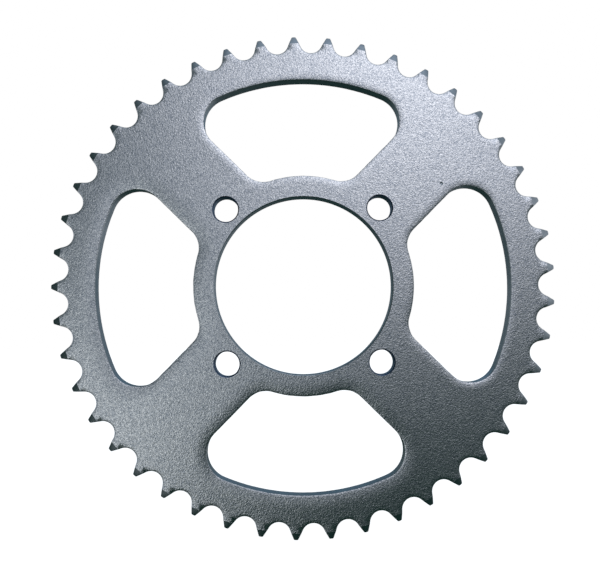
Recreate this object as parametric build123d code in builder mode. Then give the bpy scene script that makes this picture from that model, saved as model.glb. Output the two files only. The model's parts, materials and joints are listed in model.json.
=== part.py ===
from build123d import *
import os
from math import radians, sin, tan

# Rear chain sprocket of a light motorcycle: one blanked and drilled steel plate.
# Millimetres. The plate stands upright and spins about Y: its outer face looks along -Y,
# +Z is up, and the origin is on the spin axis in the middle of the plate's thickness.

# Chain (half-inch pitch, 428 series) and teeth
CHAIN_PITCH = 12.7
ROLLER_DIAMETER = 8.51
TEETH = 45
SEAT_CLEARANCE = 1.01  # seat radius over roller radius
FLANK_ANGLE = 26.5  # between a straight flank and the centre line of its tooth gap
OUTSIDE_RADIUS = 93.2
TIP_CORNER_RADIUS = 0.5
FIRST_TOOTH_ANGLE = 3.6  # from +X towards +Z, measured to the middle of a tooth

# Plate
THICKNESS = 7.0
TOOTH_CHAMFER_RADIUS = 90.4  # where the turned chamfer of the tooth sides begins
TOOTH_CHAMFER_DEPTH = 1.45  # how far it has cut in from each face at the tooth tips

# Four lightening windows between four straight spokes
WINDOW_OUTER_RADIUS = 76.75
HUB_RING_RADIUS = 40.7
SPOKE_WIDTH = 29.1
SPOKE_COUNT = 4
FIRST_SPOKE_ANGLE = 45.0
RIM_CORNER_RADIUS = 10.25
HUB_CORNER_RADIUS = 8.45
PUNCHED_EDGE_RADIUS = 0.15  # rolled-in edge on the side where the punch came in
BREAK_EDGE = 0.15  # edge break on the other side

# Hub bore and bolt holes
BORE_DIAMETER = 65.7
BORE_CHAMFER = 0.3
BOLT_CIRCLE_DIAMETER = 80.6
BOLT_HOLE_DIAMETER = 9.15
BOLT_HOLE_CHAMFER = 0.4

# A small round punch mark in the outer face, left by a hardness test
PUNCH_MARK_PLACE = (51.6, 37.35)
PUNCH_BALL_RADIUS = 0.8
PUNCH_MARK_DEPTH = 0.3

# Worked out from the above
PITCH_RADIUS = CHAIN_PITCH / (2 * sin(radians(180 / TEETH)))
SEAT_RADIUS = SEAT_CLEARANCE * ROLLER_DIAMETER / 2
TOOTH_ANGLE = 360 / TEETH
FIRST_GAP_ANGLE = FIRST_TOOTH_ANGLE + TOOTH_ANGLE / 2
CUTTER_REACH = 2.0  # how far the cutting shapes run past the plate
CUTTER_LENGTH = OUTSIDE_RADIUS + CUTTER_REACH - PITCH_RADIUS

OUTER_FACE = Plane.XZ.offset(THICKNESS / 2)


def tooth_gap():
    """One tooth gap: a round roller seat that opens into two straight flanks.

    It is drawn on local X, with the seat's centre on the pitch circle at the origin.
    """
    with BuildSketch() as gap:
        with BuildLine():
            seat_end = PolarLine((0, 0), SEAT_RADIUS, 90 + FLANK_ANGLE, mode=Mode.PRIVATE) @ 1
            mouth_half_width = seat_end.Y + (CUTTER_LENGTH - seat_end.X) * tan(radians(FLANK_ANGLE))
            mouth = (CUTTER_LENGTH, mouth_half_width)
            seat = ThreePointArc(seat_end, (-SEAT_RADIUS, 0), (seat_end.X, -seat_end.Y))
            Polyline(seat @ 1, (mouth[0], -mouth[1]), mouth, seat @ 0)
        make_face()
    return gap.sketch


# The toothed blank
with BuildPart() as plate:
    with BuildSketch(OUTER_FACE) as blank:
        Circle(OUTSIDE_RADIUS)
        with PolarLocations(PITCH_RADIUS, TEETH, start_angle=FIRST_GAP_ANGLE):
            add(tooth_gap(), mode=Mode.SUBTRACT)
        fillet(blank.vertices().group_by(SortBy.DISTANCE)[-1], TIP_CORNER_RADIUS)
    extrude(amount=-THICKNESS)

    # Both sides of the teeth are turned to a shallow cone, to guide the chain on
    with BuildSketch(Plane.XY) as turned_profile:
        rim_radius = OUTSIDE_RADIUS + CUTTER_REACH
        cone_slope = TOOTH_CHAMFER_DEPTH / (OUTSIDE_RADIUS - TOOTH_CHAMFER_RADIUS)
        rim_half_width = THICKNESS / 2 - (rim_radius - TOOTH_CHAMFER_RADIUS) * cone_slope
        Polygon(
            (0, -THICKNESS / 2),
            (TOOTH_CHAMFER_RADIUS, -THICKNESS / 2),
            (rim_radius, -rim_half_width),
            (rim_radius, rim_half_width),
            (TOOTH_CHAMFER_RADIUS, THICKNESS / 2),
            (0, THICKNESS / 2),
            align=None,
        )
    revolve(axis=Axis.Y, mode=Mode.INTERSECT)

    # Windows: the ring between hub and rim, less the spokes
    with BuildSketch(OUTER_FACE) as windows:
        Circle(WINDOW_OUTER_RADIUS)
        Circle(HUB_RING_RADIUS, mode=Mode.SUBTRACT)
        with PolarLocations(0, SPOKE_COUNT, start_angle=FIRST_SPOKE_ANGLE):
            Rectangle(OUTSIDE_RADIUS, SPOKE_WIDTH, align=(Align.MIN, Align.CENTER), mode=Mode.SUBTRACT)
        corners = windows.vertices().sort_by(SortBy.DISTANCE)
        fillet(corners[len(corners) // 2 :], RIM_CORNER_RADIUS)
        corners = windows.vertices().sort_by(SortBy.DISTANCE)
        fillet(corners[: 2 * SPOKE_COUNT], HUB_CORNER_RADIUS)
    extrude(amount=-THICKNESS, mode=Mode.SUBTRACT)
    window_edges = plate.edges(Select.LAST).filter_by(Plane.XZ).group_by(Axis.Y)
    fillet(window_edges[0], PUNCHED_EDGE_RADIUS)
    chamfer(window_edges[-1], BREAK_EDGE)

    # Hub bore
    with Locations(OUTER_FACE):
        Hole(BORE_DIAMETER / 2)
    chamfer(plate.edges(Select.LAST).filter_by(GeomType.CIRCLE), BORE_CHAMFER)

    # Bolt holes, one in the root of each spoke
    with Locations(OUTER_FACE):
        with PolarLocations(BOLT_CIRCLE_DIAMETER / 2, SPOKE_COUNT, start_angle=FIRST_SPOKE_ANGLE):
            Hole(BOLT_HOLE_DIAMETER / 2)
    chamfer(plate.edges(Select.LAST).filter_by(GeomType.CIRCLE), BOLT_HOLE_CHAMFER)

    # Punch mark
    with Locations(OUTER_FACE.offset(PUNCH_BALL_RADIUS - PUNCH_MARK_DEPTH)):
        with Locations(PUNCH_MARK_PLACE):
            Sphere(PUNCH_BALL_RADIUS, mode=Mode.SUBTRACT)

plate.part.label = "sprocket_plate"
plate.part.color = Color(0.66, 0.69, 0.72)

os.makedirs("parts", exist_ok=True)
export_step(plate.part, "parts/sprocket_plate.step")
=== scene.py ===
"""Looks of a motorcycle rear sprocket: one punched, turned and zinc-plated steel plate.

Lengths are millimetres until they become Blender coordinates (MM). The plate stands upright in
the XZ plane and spins about Y; its outer face looks along -Y. An outline is a loop of points in
that plane, each with a unit normal that points into the metal. A ring is such a loop on the
surface, and an inset is how far a ring lies from its wall, into the metal.
"""

import json
import math

import bmesh
import bpy
import numpy as np
from mathutils import Matrix, Vector, noise
from mathutils.geometry import delaunay_2d_cdt


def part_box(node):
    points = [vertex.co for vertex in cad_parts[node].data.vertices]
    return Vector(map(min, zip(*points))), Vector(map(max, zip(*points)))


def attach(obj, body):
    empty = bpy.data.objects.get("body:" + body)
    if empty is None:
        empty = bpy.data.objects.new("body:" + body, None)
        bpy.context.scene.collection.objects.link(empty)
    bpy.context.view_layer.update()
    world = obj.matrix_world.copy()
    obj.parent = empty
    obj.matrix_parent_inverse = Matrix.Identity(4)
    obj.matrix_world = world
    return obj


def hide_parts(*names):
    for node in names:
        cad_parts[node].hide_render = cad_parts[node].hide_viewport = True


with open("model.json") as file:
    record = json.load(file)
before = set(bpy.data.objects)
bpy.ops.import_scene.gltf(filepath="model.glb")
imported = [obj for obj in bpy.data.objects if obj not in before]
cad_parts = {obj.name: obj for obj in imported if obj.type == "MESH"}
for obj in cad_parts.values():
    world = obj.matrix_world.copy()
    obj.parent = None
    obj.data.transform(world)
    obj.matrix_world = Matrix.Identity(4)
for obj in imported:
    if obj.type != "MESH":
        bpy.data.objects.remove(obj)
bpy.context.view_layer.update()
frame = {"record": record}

MM = 0.001
NODE = "sprocket_plate"
MOUNTS = {mount["name"]: mount for mount in frame["record"]["mounts"]}

# Sizes that the frame gives
THICKNESS = (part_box(NODE)[1].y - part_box(NODE)[0].y) / MM
FLOOR_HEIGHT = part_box(NODE)[0].z / MM
BORE_RADIUS = MOUNTS["hub_bore"]["dims"]["r_mm"]
BOLT_CIRCLE_RADIUS = MOUNTS["bolt_circle"]["dims"]["pcd_mm"] / 2
BOLT_HOLE_RADIUS = MOUNTS["bolt_circle"]["dims"]["hole_r_mm"]

# Teeth, as in the CAD
TEETH = 45
CHAIN_PITCH = 12.7
SEAT_RADIUS = 4.298
FLANK_ANGLE = 26.5
OUTSIDE_RADIUS = 93.2
TIP_CORNER_RADIUS = 0.5
FIRST_TOOTH_ANGLE = 3.6
CHAMFER_START_RADIUS = 90.4
CHAMFER_DEPTH = 1.45
CHAMFER_SLOPE = CHAMFER_DEPTH / (OUTSIDE_RADIUS - CHAMFER_START_RADIUS)
PITCH_RADIUS = CHAIN_PITCH / (2 * math.sin(math.pi / TEETH))
TOOTH_ANGLE = 360 / TEETH

# Windows, as in the CAD, with a spoke between each two of them
WINDOWS = 4
WINDOW_ANGLE = 360 / WINDOWS
WINDOW_OUTER_RADIUS = 76.75
HUB_RING_RADIUS = 40.7
SPOKE_HALF_WIDTH = 14.55
RIM_CORNER_RADIUS = 10.25
HUB_CORNER_RADIUS = 8.45

# Chamfers and the punch mark, as in the CAD
BORE_CHAMFER = 0.3
BOLT_HOLE_CHAMFER = 0.4
PUNCH_MARK_PLACE = (51.6, 37.35)
PUNCH_BALL_RADIUS = 0.8
PUNCH_MARK_DEPTH = 0.3

# How punching shaped the edges: the face sinks towards a punched edge (die roll), then turns over
# it. Each pair is the width and depth of that roll, for the top, left, bottom and right window.
WINDOW_ROLLS = ((2.7, 0.13), (6.2, 0.26), (5.0, 0.20), (2.7, 0.13))
WINDOW_EDGE_RADIUS = 0.15
TOOTH_ROLL = (1.6, 0.05)
TOOTH_EDGE_RADIUS = 0.18
BACK_EDGE_RADIUS = 0.15
SHEARED_SHARE = 0.38  # of the thickness, cut smooth before the rest broke away
BREAK_LINE_WOBBLE = 0.5  # unevenness of the line where the smooth part ends
BREAKOUT_STEP = 0.02  # how far the broken part of a wall starts back from the smooth part
BREAKOUT_TAPER = 0.03  # how much further back it leans by the far face
FACE_WOBBLE = 0.10  # unevenness of the face's rings near a punched edge, in and out
FACE_WOBBLE_REACH = 2.5  # the inset by which it has faded out
LIP_WOBBLE = 0.08  # unevenness of the edge itself
SHEARED_ROUGHNESS = 0.02  # unevenness of the wall's smooth part
BROKEN_ROUGHNESS = 0.05  # unevenness of its broken part
DRILLED_SOFTNESS = 0.05  # how far the corners of a drilled hole's chamfer are softened

# Mesh density. Insets are those of the face's rings and points round a punched edge.
WINDOW_STEP = 0.9
WINDOW_RING_INSETS = (3.3, 2.7, 2.15, 1.65, 1.2, 0.8)
WINDOW_GUIDE_INSETS = (3.9, 4.6, 5.4, 6.2)
WINDOW_EDGE_STEPS = 5
SEAT_STEPS = 9
SEAT_GUIDE_INSETS = (0.7, 1.3, 2.0, 2.8)
SEAT_GUIDE_SPAN = (118, 243)  # degrees of the seat's circle, for its guide points
SEAT_GUIDES = 9
GUIDE_CLEARANCE = 0.6  # between a guide point and the rings
TOOTH_EDGE_STEPS = 3
CORNER_STEPS = 3
CREASE_HALF_ANGLE = 0.9  # degrees, inside a tooth's two flanks
CREASE_POINTS = 5
BACK_EDGE_STEPS = 2
BORE_STEPS = 220
HOLE_STEPS = 56
PUNCH_MARK_STEPS = 16
PUNCH_MARK_RINGS = (1.0, 0.8, 0.55, 0.28)  # shares of its radius
GRID_STEP = 3.0
GRID_ROW = GRID_STEP * math.sqrt(3) / 2
SHARP_ANGLE = 24  # degrees between two faces, from which their edge is a hard one


def turned(points, degrees):
    """Points or normals turned about the spin axis, from +X towards +Z."""
    c = math.cos(math.radians(degrees))
    s = math.sin(math.radians(degrees))
    return points @ np.array([[c, s], [-s, c]])


def arc(centre, radius, start, end, steps, metal_outside=True):
    """Points and normals along an arc, in degrees; the end point is left out."""
    angles = np.radians(np.linspace(start, end, steps, endpoint=False))
    outward = np.stack([np.cos(angles), np.sin(angles)], axis=1)
    return np.array(centre) + radius * outward, outward if metal_outside else -outward


def line(start, end, steps, normal):
    """Points and normals along a straight stretch; the end point is left out."""
    share = np.linspace(0, 1, steps, endpoint=False)[:, None]
    points = np.array(start) * (1 - share) + np.array(end) * share
    return points, np.tile(normal, (steps, 1))


def joined(parts):
    """One outline from several stretches of it."""
    return np.concatenate([p for p, _ in parts]), np.concatenate([n for _, n in parts])


def mirrored(half, axis):
    """The other half of a symmetric outline, in the order that carries on from the first.

    half holds both its end points, which lie on the mirror line, and both are left out here.
    """
    flip = np.array([-1, 1]) if axis == "z" else np.array([1, -1])
    return tuple((values * flip)[::-1][1:-1] for values in half)


def along(length, step):
    """How many steps of about that size a stretch takes."""
    return max(1, round(length / step))


def window_outline(degrees):
    """The window whose middle is that many degrees past +Z."""
    rim_line = SPOKE_HALF_WIDTH + RIM_CORNER_RADIUS
    hub_line = SPOKE_HALF_WIDTH + HUB_CORNER_RADIUS
    rim_along = math.sqrt((WINDOW_OUTER_RADIUS - RIM_CORNER_RADIUS) ** 2 - rim_line**2)
    hub_along = math.sqrt((HUB_RING_RADIUS + HUB_CORNER_RADIUS) ** 2 - hub_line**2)
    spoke = np.array([1, 1]) / math.sqrt(2)
    across = np.array([-1, 1]) / math.sqrt(2)
    rim_centre = rim_along * spoke + rim_line * across
    hub_centre = hub_along * spoke + hub_line * across
    rim_angle = math.degrees(math.atan2(rim_centre[1], rim_centre[0]))
    hub_angle = math.degrees(math.atan2(hub_centre[1], hub_centre[0]))
    rim_length = math.radians(90 - rim_angle) * WINDOW_OUTER_RADIUS
    hub_length = math.radians(90 - hub_angle) * HUB_RING_RADIUS
    corner_length = math.radians(rim_angle + 45) * RIM_CORNER_RADIUS
    root_length = math.radians(135 - hub_angle) * HUB_CORNER_RADIUS
    hub_steps = along(hub_length, WINDOW_STEP)
    half = joined([
        arc((0, 0), WINDOW_OUTER_RADIUS, 90, rim_angle, along(rim_length, WINDOW_STEP)),
        arc(rim_centre, RIM_CORNER_RADIUS, rim_angle, -45, along(corner_length, WINDOW_STEP)),
        line(
            rim_centre - RIM_CORNER_RADIUS * across,
            hub_centre - HUB_CORNER_RADIUS * across,
            along(rim_along - hub_along, WINDOW_STEP),
            -across,
        ),
        arc(hub_centre, HUB_CORNER_RADIUS, -45, hub_angle - 180, along(root_length, WINDOW_STEP)),
        arc((0, 0), HUB_RING_RADIUS, hub_angle, 90, hub_steps, metal_outside=False),
        (np.array([[0, HUB_RING_RADIUS]]), np.array([[0.0, -1.0]])),
    ])
    other = mirrored(half, "z")
    return tuple(turned(np.concatenate(pair), degrees) for pair in zip(half, other))


def tooth_outline():
    """The whole toothed edge, with a point of every flank where the side chamfer begins."""
    slant = math.radians(FLANK_ANGLE)
    up_flank = np.array([math.cos(slant), math.sin(slant)])
    into_tooth = np.array([-math.sin(slant), math.cos(slant)])
    seat_centre = np.array([PITCH_RADIUS, 0])
    seat_end = seat_centre + SEAT_RADIUS * into_tooth

    def reach(start, radius):
        """How far up the flank's direction a point from start meets that radius."""
        b = start @ up_flank
        return -b + math.sqrt(b * b - start @ start + radius * radius)

    corner_start = seat_end + TIP_CORNER_RADIUS * into_tooth
    flank_length = reach(corner_start, OUTSIDE_RADIUS - TIP_CORNER_RADIUS)
    corner_centre = corner_start + flank_length * up_flank
    corner_angle = math.degrees(math.atan2(corner_centre[1], corner_centre[0]))
    crease = seat_end + reach(seat_end + TOOTH_EDGE_RADIUS * into_tooth, CHAMFER_START_RADIUS) * up_flank
    flank_end = seat_end + flank_length * up_flank
    half_pitch = TOOTH_ANGLE / 2
    tip = turned(np.array([[OUTSIDE_RADIUS, 0]]), half_pitch)
    half = joined([
        arc(seat_centre, SEAT_RADIUS, 180, 90 + FLANK_ANGLE, SEAT_STEPS),
        line(seat_end, crease, 2, into_tooth),
        line(crease, flank_end, 3, into_tooth),
        arc(corner_centre, TIP_CORNER_RADIUS, FLANK_ANGLE - 90, corner_angle, CORNER_STEPS, False),
        arc((0, 0), OUTSIDE_RADIUS, corner_angle, half_pitch, 1, False),
        (tip, -tip / OUTSIDE_RADIUS),
    ])
    gap = joined([half, mirrored(half, "x")])
    middle = len(half[0]) - 1
    order = np.roll(np.arange(len(gap[0])), len(gap[0]) - middle - 1)
    gap = (gap[0][order], gap[1][order])  # now from the middle of a tooth to the next
    first = FIRST_TOOTH_ANGLE + half_pitch
    angles = [first + TOOTH_ANGLE * i for i in range(TEETH)]
    return joined([tuple(turned(values, angle) for values in gap) for angle in angles])


def circle_outline(centre, radius, steps):
    """A round hole's edge."""
    return arc(centre, radius, 0, 360, steps)


def edge_round(inset, radius):
    """How far a rounded edge has dropped, that far in from the wall."""
    gap = max(radius - inset, 0)
    return radius - math.sqrt(radius * radius - gap * gap)


def roll(inset, width, depth):
    """How far the face has sunk towards a punched edge, that far in from the wall."""
    return depth * max(1 - inset / width, 0) ** 2


def quarter(radius, steps):
    """Insets that divide a rounded edge evenly, from the face to the wall."""
    return [radius * (1 - math.sin(math.pi / 2 * i / steps)) for i in range(steps + 1)]


def chamfer_drop(points):
    """How far the turned side chamfer has cut in from a face."""
    return np.maximum(np.hypot(points[:, 0], points[:, 1]) - CHAMFER_START_RADIUS, 0) * CHAMFER_SLOPE


def uneven(points, depths, grain, seed):
    """Smooth noise between about -1 and 1 at each point, with lumps about as large as the grain."""
    place = np.column_stack([points[:, 0], depths, points[:, 1]]) / grain + seed
    return np.array([noise.noise(Vector(p)) for p in place])


class Plate:
    """The mesh as it grows: points, and faces with their material."""

    def __init__(self):
        self.points = []
        self.faces = []
        self.finishes = []

    def add_points(self, flat, depth):
        """Adds points of the XZ plane, that deep below the outer face, and returns their numbers."""
        first = len(self.points)
        depth = np.broadcast_to(depth, len(flat))
        self.points += [(p[0], d - THICKNESS / 2, p[1]) for p, d in zip(flat, depth)]
        return list(range(first, len(self.points)))

    def add_face(self, corners, finish):
        self.faces.append(corners)
        self.finishes.append(finish)

    def add_band(self, ring, next_ring, finish):
        """A closed band of four-sided faces between two rings."""
        for i in range(len(ring)):
            self.add_face((ring[i - 1], ring[i], next_ring[i], next_ring[i - 1]), finish)


# Finishes of the plating, in the order of the mesh's materials: the two ends of the colour, the
# range of roughness, the size of the grain and the height of its bumps
FINISHES = {
    "zinc_face": ((0.34, 0.37, 0.41), (1.0, 0.98, 0.95), (0.09, 0.13), 0.27, 0.06),
    "zinc_turned": ((0.56, 0.59, 0.63), (0.66, 0.69, 0.72), (0.28, 0.34), 0.9, 0.01),
    "zinc_sheared": ((0.50, 0.54, 0.58), (0.64, 0.67, 0.70), (0.25, 0.4), 0.7, 0.04),
    # The next finish, for the bolt holes' chamfers and walls, is painted shade: a dark blue-grey that
    # stands in for the shade and dark reflection inside the holes, darker than the plating's own colour.
    "zinc_hole_painted_shade": ((0.15, 0.21, 0.33), (0.25, 0.32, 0.45), (0.28, 0.40), 0.9, 0.01),
}
FACE, TURNED, SHEARED, HOLE_PAINTED_SHADE = range(len(FINISHES))
BUMP_SIZE = 1.7  # of the bumps, over the grain's
GLOSS_PATCH = 14  # size of the patches whose gloss differs

plate = Plate()


def add_edge(outline, profile, chamfered=False):
    """Rings of points around an outline, over the front edge, down the wall and over the back edge.

    profile is a list of (inset, depth, finish of the band before it), and chamfered says that the
    turned chamfer of the teeth cuts both faces there. Returns the ring that lies in each face, as
    (its points, their numbers).
    """
    points, normals = outline
    rings = []
    for inset, depth, finish in profile:
        flat = points + np.reshape(inset, (-1, 1)) * normals
        if chamfered:
            cut = chamfer_drop(flat)
            nearer_front = np.reshape(depth, -1) < THICKNESS / 2
            depth = np.where(nearer_front, np.maximum(depth, 0) + cut, depth - cut)
        numbers = plate.add_points(flat, depth)
        if rings:
            plate.add_band(rings[-1][1], numbers, finish)
        rings.append((flat, numbers))
    return rings[0], rings[-1]


def window_profile(outline, die_roll, seed):
    """A punched window's edge: die roll, rounded lip, smooth sheared wall, rough broken wall."""
    points, _ = outline
    level = np.zeros(len(points))
    lip = uneven(points, level, 2.2, seed) + 0.5 * uneven(points, level, 0.9, seed)
    break_wobble = BREAK_LINE_WOBBLE * uneven(points, level, 5.0, seed + 7)
    break_line = SHEARED_SHARE * THICKNESS + break_wobble
    rings = []
    for inset in WINDOW_RING_INSETS:
        fade = 1 - min(inset / FACE_WOBBLE_REACH, 1)
        rings.append((inset + FACE_WOBBLE * fade * lip, roll(inset, *die_roll), FACE))
    for inset in quarter(WINDOW_EDGE_RADIUS, WINDOW_EDGE_STEPS):
        drop = roll(inset, *die_roll) + edge_round(inset, WINDOW_EDGE_RADIUS)
        rings.append((inset + LIP_WOBBLE * lip, drop, FACE))
    top = die_roll[1] + WINDOW_EDGE_RADIUS
    back = THICKNESS - BACK_EDGE_RADIUS
    for share in (0.35, 0.7, 1.0):
        depth = top + share * (break_line - top)
        smooth = SHEARED_ROUGHNESS * uneven(points, depth, 3.0, seed)
        rings.append((smooth + LIP_WOBBLE * lip * (1 - share), depth, SHEARED))
    for share in (0.12, 0.3, 0.5, 0.75, 1.0):
        depth = break_line + share * (back - break_line)
        rough = BROKEN_ROUGHNESS * uneven(points, depth, 1.3, seed + 3) * (1 - 0.5 * share)
        rings.append((BREAKOUT_STEP + BREAKOUT_TAPER * share + rough, depth, SHEARED))
    for inset in quarter(BACK_EDGE_RADIUS, BACK_EDGE_STEPS)[-2::-1]:
        depth = THICKNESS - edge_round(inset, BACK_EDGE_RADIUS)
        rings.append((inset + BREAKOUT_STEP + BREAKOUT_TAPER, depth, SHEARED))
    return rings


def tooth_profile():
    """A tooth gap's edge: the face sinks slightly, then small rounded edges and a straight wall."""
    rings = []
    for inset in quarter(TOOTH_EDGE_RADIUS, TOOTH_EDGE_STEPS):
        drop = roll(inset, *TOOTH_ROLL) + edge_round(inset, TOOTH_EDGE_RADIUS)
        rings.append((inset, drop, FACE))
    for share in (0.25, 0.5, 0.75):
        rings.append((0.0, THICKNESS * share, TURNED))
    finish = TURNED
    for inset in quarter(TOOTH_EDGE_RADIUS, TOOTH_EDGE_STEPS)[::-1]:
        rings.append((inset, THICKNESS - edge_round(inset, TOOTH_EDGE_RADIUS), finish))
        finish = FACE
    return rings


def drilled_profile(chamfer, finish):
    """A bore's or a drilled hole's edge: a chamfer with slightly soft corners at both faces."""
    soft = DRILLED_SOFTNESS
    near = [
        (chamfer + 2 * soft, 0.0, FACE),
        (chamfer + soft, 0.0, FACE),
        (chamfer - soft * 0.4, soft, finish),
        (soft, chamfer - soft * 0.4, finish),
        (0.0, chamfer + soft, finish),
    ]
    middle = [(0.0, THICKNESS * share, finish) for share in (0.25, 0.5, 0.75)]
    far_finishes = [finish, finish, finish, finish, FACE]
    far = [(inset, THICKNESS - depth, f) for (inset, depth, _), f in zip(near[::-1], far_finishes)]
    return near + middle + far


def add_punch_mark():
    """The small round dent that a hardness test left in the outer face. Returns its rim's ring."""
    ball_height = PUNCH_BALL_RADIUS - PUNCH_MARK_DEPTH
    rim = math.sqrt(PUNCH_BALL_RADIUS**2 - ball_height**2)
    rings = []
    for share in PUNCH_MARK_RINGS:
        flat, _ = circle_outline(PUNCH_MARK_PLACE, rim * share, PUNCH_MARK_STEPS)
        depth = math.sqrt(PUNCH_BALL_RADIUS**2 - (rim * share) ** 2) - ball_height
        numbers = plate.add_points(flat, depth)
        if rings:
            plate.add_band(rings[-1][1], numbers, TURNED)
        rings.append((flat, numbers))
    bottom = plate.add_points(np.array([PUNCH_MARK_PLACE]), PUNCH_MARK_DEPTH)[0]
    last = rings[-1][1]
    for i in range(len(last)):
        plate.add_face((last[i - 1], last[i], bottom), TURNED)
    return rings[0]


def inside(points, ring):
    """Which points lie inside a closed ring."""
    x, z = points[:, 0][:, None], points[:, 1][:, None]
    x0, z0 = ring[:, 0], ring[:, 1]
    x1, z1 = np.roll(x0, -1), np.roll(z0, -1)
    spans = (z0 > z) != (z1 > z)
    with np.errstate(divide="ignore", invalid="ignore"):
        crossing = x0 + (z - z0) * (x1 - x0) / (z1 - z0)
    return (spans & (x < crossing)).sum(axis=1) % 2 == 1


def in_metal(points, rim, holes):
    """Which points lie inside the rim's ring and outside the holes' rings."""
    found = inside(points, rim[0])
    for hole in holes:
        found &= ~inside(points, hole[0])
    return found


def far_from(points, others, gap):
    """Which points are at least that far from all the others."""
    return np.array([np.hypot(*(others - p).T).min() >= gap for p in points])


def grid_points():
    """An even triangular grid over the whole plate."""
    rows = int(OUTSIDE_RADIUS / GRID_ROW) + 1
    columns = int(OUTSIDE_RADIUS / GRID_STEP) + 1
    return np.array([
        ((i + 0.5 * (j % 2)) * GRID_STEP, j * GRID_ROW)
        for j in range(-rows, rows + 1)
        for i in range(-columns, columns + 1)
    ])


def seat_guides():
    """Points behind each roller seat, with the die roll's drop at each: (points, drops)."""
    found, drops = [], []
    for i in range(TEETH):
        angle = FIRST_TOOTH_ANGLE + TOOTH_ANGLE * (i + 0.5)
        for inset in SEAT_GUIDE_INSETS:
            points, _ = arc((PITCH_RADIUS, 0), SEAT_RADIUS + inset, *SEAT_GUIDE_SPAN, SEAT_GUIDES)
            found.append(turned(points, angle))
            drops += [roll(inset, *TOOTH_ROLL)] * len(points)
    return np.concatenate(found), np.array(drops)


def window_guides(windows):
    """Points further from each window than its rings, with the die roll's drop at each."""
    found, drops = [], []
    for (points, normals), die_roll in zip(windows, WINDOW_ROLLS):
        for inset in WINDOW_GUIDE_INSETS:
            found.append(points + inset * normals)
            drops += [roll(inset, *die_roll)] * len(points)
    return np.concatenate(found), np.array(drops)


def crease_points():
    """Points across each tooth, between its flanks, where the side chamfer starts."""
    across = np.linspace(-CREASE_HALF_ANGLE, CREASE_HALF_ANGLE, CREASE_POINTS)
    teeth = FIRST_TOOTH_ANGLE + TOOTH_ANGLE * np.arange(TEETH)
    angles = np.radians(np.add.outer(teeth, across)).ravel()
    return CHAMFER_START_RADIUS * np.column_stack([np.cos(angles), np.sin(angles)])


def face_points(rim, holes, windows):
    """Points of a face between its rings, and how far the die rolls have sunk each."""
    guides, drops = (np.concatenate(pair) for pair in zip(seat_guides(), window_guides(windows)))
    hole_points = np.concatenate([ring[0] for ring in holes])
    clear = far_from(guides, hole_points, GUIDE_CLEARANCE)
    guides, drops = guides[clear], drops[clear]
    creases = crease_points()
    grid = grid_points()
    grid = grid[in_metal(grid, rim, holes)]
    others = np.concatenate([rim[0], hole_points, guides, creases])
    grid = grid[far_from(grid, others, GRID_STEP / 2)]
    points = np.concatenate([guides, creases, grid])
    drops = np.concatenate([drops, np.zeros(len(creases) + len(grid))])
    kept = in_metal(points, rim, holes)
    return points[kept], drops[kept]


def add_side(rim, holes, windows, is_front):
    """Fills a face of the plate between its rings with triangles."""
    rings = [rim, *holes]
    between, drops = face_points(rim, holes, windows)
    cut = chamfer_drop(between)
    depth = drops + cut if is_front else THICKNESS - cut
    numbers = [n for ring in rings for n in ring[1]] + plate.add_points(between, depth)
    flat = np.concatenate([ring[0] for ring in rings] + [between])
    edges = []
    first = 0
    for _, ring in rings:
        edges += [(first + i, first + (i + 1) % len(ring)) for i in range(len(ring))]
        first += len(ring)
    places, _, triangles, origins, *_ = delaunay_2d_cdt([Vector(p) for p in flat], edges, [], 0, 1e-6)
    source = [numbers[same_as[0]] for same_as in origins]
    corners = np.array([list(triangle) for triangle in triangles])
    middles = np.array([list(place) for place in places])[corners].mean(axis=1)
    kept = in_metal(middles, rim, holes)
    chamfered = np.hypot(middles[:, 0], middles[:, 1]) > CHAMFER_START_RADIUS
    for triangle, is_turned in zip(corners[kept], chamfered[kept]):
        plate.add_face(tuple(source[i] for i in triangle), TURNED if is_turned else FACE)


def build_plate():
    """The plate as one closed mesh."""
    rim_front, rim_back = add_edge(tooth_outline(), tooth_profile(), chamfered=True)
    windows = [window_outline(WINDOW_ANGLE * i) for i in range(WINDOWS)]
    edges = [
        add_edge(window, window_profile(window, die_roll, 20.0 * i))
        for i, (window, die_roll) in enumerate(zip(windows, WINDOW_ROLLS))
    ]
    bore = circle_outline((0, 0), BORE_RADIUS, BORE_STEPS)
    edges.append(add_edge(bore, drilled_profile(BORE_CHAMFER, TURNED)))
    for i in range(WINDOWS):
        centre = turned(np.array([BOLT_CIRCLE_RADIUS, 0.0]), WINDOW_ANGLE * (i + 0.5))
        hole = circle_outline(centre, BOLT_HOLE_RADIUS, HOLE_STEPS)
        # The bolt holes' chamfers and walls get the finish with painted shade.
        edges.append(add_edge(hole, drilled_profile(BOLT_HOLE_CHAMFER, HOLE_PAINTED_SHADE)))
    fronts = [front for front, _ in edges]
    backs = [back for _, back in edges]
    fronts.append(add_punch_mark())
    add_side(rim_front, fronts, windows, is_front=True)
    add_side(rim_back, backs, windows, is_front=False)

    mesh = bpy.data.meshes.new("sprocket_plate_visual")
    mesh.from_pydata([Vector(p) * MM for p in plate.points], [], plate.faces)
    mesh.polygons.foreach_set("material_index", plate.finishes)
    mesh.polygons.foreach_set("use_smooth", [True] * len(plate.faces))
    return mesh


def clean(mesh):
    """Turns every face outwards and marks the hard edges."""
    work = bmesh.new()
    work.from_mesh(mesh)
    bmesh.ops.recalc_face_normals(work, faces=work.faces)
    work.to_mesh(mesh)
    work.free()
    mesh.set_sharp_from_angle(angle=math.radians(SHARP_ANGLE))


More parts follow.
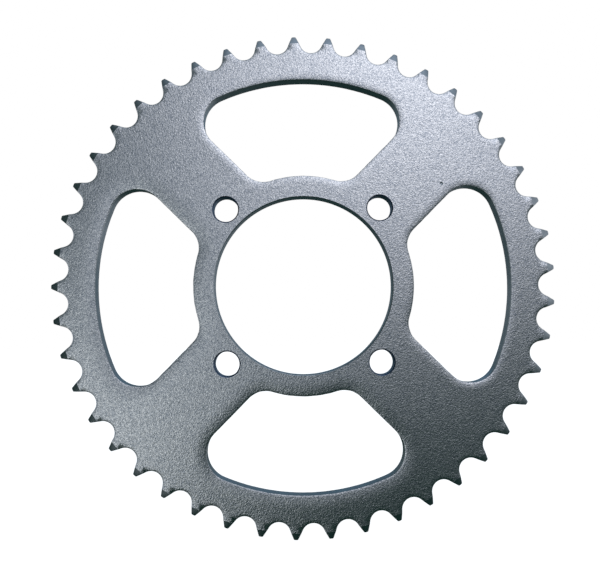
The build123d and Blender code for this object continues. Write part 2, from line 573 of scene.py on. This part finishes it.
class Nodes:
    """A short way to write a node tree."""

    def __init__(self, tree):
        self.tree = tree
        tree.nodes.clear()

    def add(self, kind, inputs=None, **settings):
        """A node with those settings, each input linked to a socket or set to a value."""
        node = self.tree.nodes.new(kind)
        for name, value in settings.items():
            setattr(node, name, value)
        for name, value in (inputs or {}).items():
            socket = node.inputs[name]
            if isinstance(value, bpy.types.NodeSocket):
                self.tree.links.new(value, socket)
            else:
                socket.default_value = value
        return node

    def math(self, operation, a, b=0.0):
        return self.add("ShaderNodeMath", {0: a, 1: b}, operation=operation).outputs[0]

    def vector_math(self, operation, inputs):
        return self.add("ShaderNodeVectorMath", inputs, operation=operation)

    def noise(self, place, size, detail, roughness=0.5):
        inputs = {"Vector": place, "Scale": 1 / size, "Detail": detail, "Roughness": roughness}
        return self.add("ShaderNodeTexNoise", inputs).outputs["Fac"]

    def remap(self, value, low, high, to_low, to_high):
        inputs = {"Value": value, "From Min": low, "From Max": high, "To Min": to_low, "To Max": to_high}
        return self.add("ShaderNodeMapRange", inputs).outputs["Result"]

    def mix(self, factor, a, b):
        """A colour between a and b, by the mix node's sockets for colours: 6, 7 and output 2."""
        inputs = {"Factor": factor, 6: (*a, 1), 7: (*b, 1)}
        return self.add("ShaderNodeMix", inputs, data_type="RGBA").outputs[2]


def metal(name, dark, bright, roughness, grain, bump_height):
    """Zinc plating: grains of differing colour, fine bumps, and a gloss that drifts over the plate."""
    material = bpy.data.materials.new(name)
    material.use_nodes = True
    nodes = Nodes(material.node_tree)
    place = nodes.add("ShaderNodeTexCoord").outputs["Object"]
    grains = nodes.add("ShaderNodeTexVoronoi", {"Vector": place, "Scale": 1 / (grain * MM)})
    shade = nodes.add("ShaderNodeSeparateColor", {"Color": grains.outputs["Color"]}).outputs[0]
    colour = nodes.mix(shade, dark, bright)
    patches = nodes.noise(place, GLOSS_PATCH * MM, detail=3.0)
    gloss = nodes.remap(patches, 0.3, 0.7, *roughness)
    bumps = nodes.noise(place, BUMP_SIZE * grain * MM, detail=2.0, roughness=0.6)
    bump_inputs = {"Height": bumps, "Distance": bump_height * MM, "Strength": 1.0}
    bump = nodes.add("ShaderNodeBump", bump_inputs)
    shader = nodes.add("ShaderNodeBsdfPrincipled", {
        "Base Color": colour,
        "Roughness": gloss,
        "Normal": bump.outputs[0],
        "Metallic": 1.0,
    })
    nodes.add("ShaderNodeOutputMaterial", {"Surface": shader.outputs[0]})
    return material


def direction(azimuth, elevation):
    """A unit vector: azimuth 0 points out of the outer face, towards the camera, and 90 to +X."""
    a = math.radians(azimuth)
    e = math.radians(elevation)
    return (math.sin(a) * math.cos(e), -math.cos(a) * math.cos(e), math.sin(e))


# Soft lights far away: (azimuth, elevation, spread in degrees, colour)
SOFT_LIGHTS = {
    "key": (9, 20, 15, (1.12, 1.15, 1.32)),
    "key_core": (7, 18, 3, (0.40, 0.40, 0.32)),
    "beside_lens": (-7, 3, 8, (0.19, 0.21, 0.25)),
    "sky": (23, 61, 34, (0.43, 0.51, 0.63)),
    "right": (62, 8, 22, (0.34, 0.36, 0.39)),
    "right_back": (115, 12, 32, (0.40, 0.43, 0.50)),
    "low_fill": (-13, -7.5, 6.5, (1.00, 1.06, 1.13)),
    "left": (-40, -2, 14, (0.59, 0.64, 0.74)),
    "low_left": (-40, -33, 14, (0.62, 0.64, 0.68)),
    "behind": (177, 14, 14, (0.10, 0.16, 0.24)),
    "back_right": (135, -14, 18, (0.60, 0.62, 0.66)),
    "back_left": (-130, 10, 20, (0.50, 0.54, 0.60)),
}
SURROUNDINGS = (0.008, 0.026, 0.021)
FLOOR_SIZE = 6000  # along each side


def light_room():
    """A dark room with soft lights for the metal to reflect, and plain white behind the object."""
    world = bpy.data.worlds.new("studio")
    world.use_nodes = True
    nodes = Nodes(world.node_tree)
    look = nodes.add("ShaderNodeTexCoord").outputs["Generated"]
    total = SURROUNDINGS
    for azimuth, elevation, spread, colour in SOFT_LIGHTS.values():
        middle = direction(azimuth, elevation)
        nearness = nodes.vector_math("DOT_PRODUCT", {0: look, 1: middle}).outputs["Value"]
        sharpness = 1 / (1 - math.cos(math.radians(spread)))
        fall = nodes.math("MULTIPLY", nodes.math("SUBTRACT", nearness, 1.0), sharpness)
        strength = nodes.math("EXPONENT", fall)
        glow = nodes.vector_math("SCALE", {0: colour, "Scale": strength}).outputs[0]
        total = nodes.vector_math("ADD", {0: glow, 1: total}).outputs[0]
    room = nodes.add("ShaderNodeBackground", {"Color": total, "Strength": 1.0})
    white = nodes.add("ShaderNodeBackground", {"Color": (1, 1, 1, 1), "Strength": 1.0})
    seen = nodes.add("ShaderNodeLightPath").outputs["Is Camera Ray"]
    choice = nodes.add("ShaderNodeMixShader", {0: seen, 1: room.outputs[0], 2: white.outputs[0]})
    nodes.add("ShaderNodeOutputWorld", {"Surface": choice.outputs[0]})
    bpy.context.scene.world = world


def lay_floor():
    """A pale floor under the lowest tooth."""
    half = FLOOR_SIZE * MM / 2
    height = FLOOR_HEIGHT * MM
    corners = [(x, y, height) for x, y in ((-half, -half), (half, -half), (half, half), (-half, half))]
    mesh = bpy.data.meshes.new("floor")
    mesh.from_pydata(corners, [], [(0, 1, 2, 3)])
    floor = bpy.data.objects.new("floor", mesh)
    bpy.context.scene.collection.objects.link(floor)
    material = bpy.data.materials.new("floor_white")
    material.use_nodes = True
    nodes = Nodes(material.node_tree)
    shader = nodes.add("ShaderNodeBsdfPrincipled", {
        "Base Color": (0.9, 0.9, 0.9, 1),
        "Roughness": 0.9,
        "Emission Color": (1, 1, 1, 1),
        "Emission Strength": 0.92,
    })
    nodes.add("ShaderNodeOutputMaterial", {"Surface": shader.outputs[0]})
    mesh.materials.append(material)
    floor.visible_glossy = False
    floor.visible_diffuse = False


# The camera stands close in front, a little left of and below the middle, and looks slightly up.
CAMERA_PLACE = (-4.72, -322.0, -14.91)
CAMERA_LOOK = (0.01057, 0.9991, 0.0405)
CAMERA_TURN = 0.7  # degrees, about the spin axis
SENSOR_WIDTH = 36.0
LENS_PER_SENSOR = 1.443


def place_camera():
    """Makes the scene's camera."""
    look = Vector(CAMERA_LOOK).normalized()
    side = look.cross(Vector((0, 0, 1))).normalized()
    up = side.cross(look)
    pose = Matrix((side, up, -look)).transposed().to_4x4()
    pose.translation = Vector(CAMERA_PLACE) * MM
    data = bpy.data.cameras.new("camera")
    data.sensor_width = SENSOR_WIDTH
    data.lens = SENSOR_WIDTH * LENS_PER_SENSOR
    data.clip_start = 0.01
    camera = bpy.data.objects.new("camera", data)
    camera.matrix_world = Matrix.Rotation(math.radians(CAMERA_TURN), 4, "Y") @ pose
    bpy.context.scene.collection.objects.link(camera)
    bpy.context.scene.camera = camera


mesh = build_plate()
clean(mesh)
for name, look in FINISHES.items():
    mesh.materials.append(metal(name, *look))
sprocket = bpy.data.objects.new("sprocket_plate_visual", mesh)
bpy.context.scene.collection.objects.link(sprocket)
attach(sprocket, "root")
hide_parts(NODE)

light_room()
lay_floor()
place_camera()
bpy.context.scene.view_settings.view_transform = "Standard"
bpy.context.scene.cycles.use_denoising = False  # it would smear the fine grain
